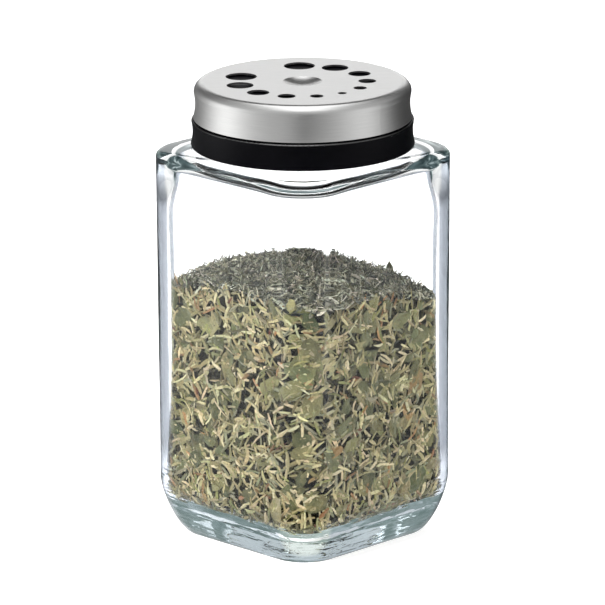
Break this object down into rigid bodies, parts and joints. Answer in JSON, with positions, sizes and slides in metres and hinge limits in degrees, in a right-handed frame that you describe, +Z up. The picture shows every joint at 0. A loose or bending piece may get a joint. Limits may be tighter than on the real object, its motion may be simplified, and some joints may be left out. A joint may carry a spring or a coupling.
{
  "type": "spice jar",
  "caption": "Square clear glass spice jar of dried herbs, with a black screw lid under a turning steel shaker cap with graded holes.",
  "frame": {"origin": "middle of the base, on the surface the jar stands on", "axes": "+Z up through the neck and cap; the flats of the square jar face along X and Y"},
  "size_m": [0.0518, 0.0518, 0.1042],
  "materials": {
    "clear_glass": "gloss",
    "dried_herbs": "matte",
    "seal_rubber": "satin",
    "black_plastic": "satin",
    "brushed_steel": "satin"
  },
  "bodies": {
    "jar": {"glass_jar": "clear_glass", "dried_herbs": "dried_herbs"},
    "seal": {"seal_ring": "seal_rubber"},
    "inner_lid": {"screw_collar": "black_plastic"},
    "shaker": {"shaker_cap": "brushed_steel"}
  },
  "joints": [
    {"name": "lid_lift", "type": "slide", "parent": "jar", "child": "seal", "axis": [0, 0, 1], "range_m": [0, 0.01164]},
    {"name": "lid_turn", "type": "hinge", "parent": "seal", "child": "inner_lid", "pos_m": [0, 0, 0.0959], "axis": [0, 0, 1], "range_deg": [0, 990]},
    {"name": "cap_turn", "type": "hinge", "parent": "inner_lid", "child": "shaker", "pos_m": [0, 0, 0.10385], "axis": [0, 0, 1], "continuous": true}
  ],
  "couplings": [
    {"joint": "lid_lift", "follows": "lid_turn", "m_per_rad": 0.0006737}
  ]
}
